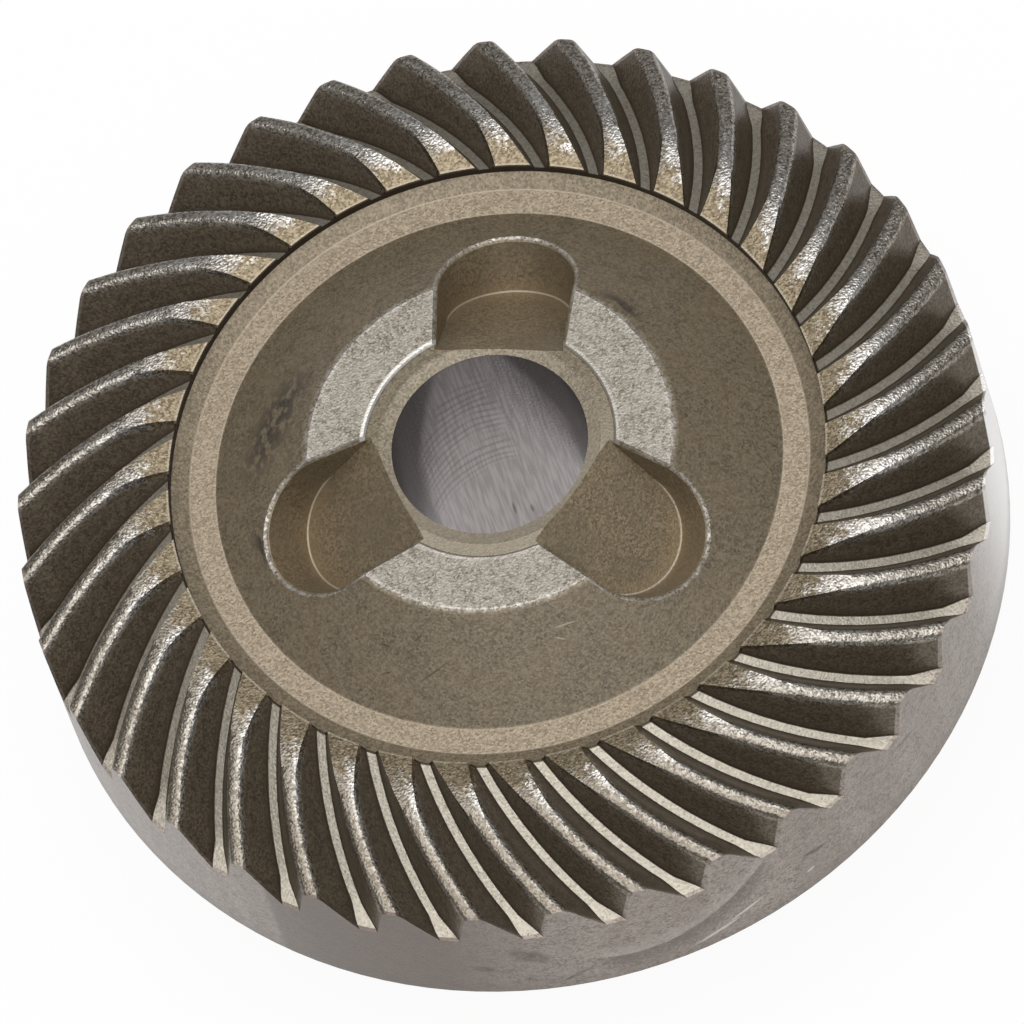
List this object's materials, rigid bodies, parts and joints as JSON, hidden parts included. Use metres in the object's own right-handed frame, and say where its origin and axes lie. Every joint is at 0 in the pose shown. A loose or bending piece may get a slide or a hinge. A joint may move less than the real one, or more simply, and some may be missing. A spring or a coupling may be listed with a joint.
{
  "type": "spiral bevel gear",
  "caption": "Spiral bevel ring gear with a raised hub cone, three round-ended hub pockets, a plain bore, a deep plain rim and a rear boss.",
  "frame": {"origin": "on the bore axis, in the end face of the rear boss that the gear rests on", "axes": "+Z along the bore axis, from the rear boss towards the toothed side"},
  "size_m": [0.0498, 0.0498, 0.021],
  "materials": {
    "sintered_steel": "as-sintered tan skin, burnished tooth crests, machined rim and bore"
  },
  "bodies": {
    "root": {"spiral_bevel_gear": "sintered_steel"}
  },
  "joints": []
}
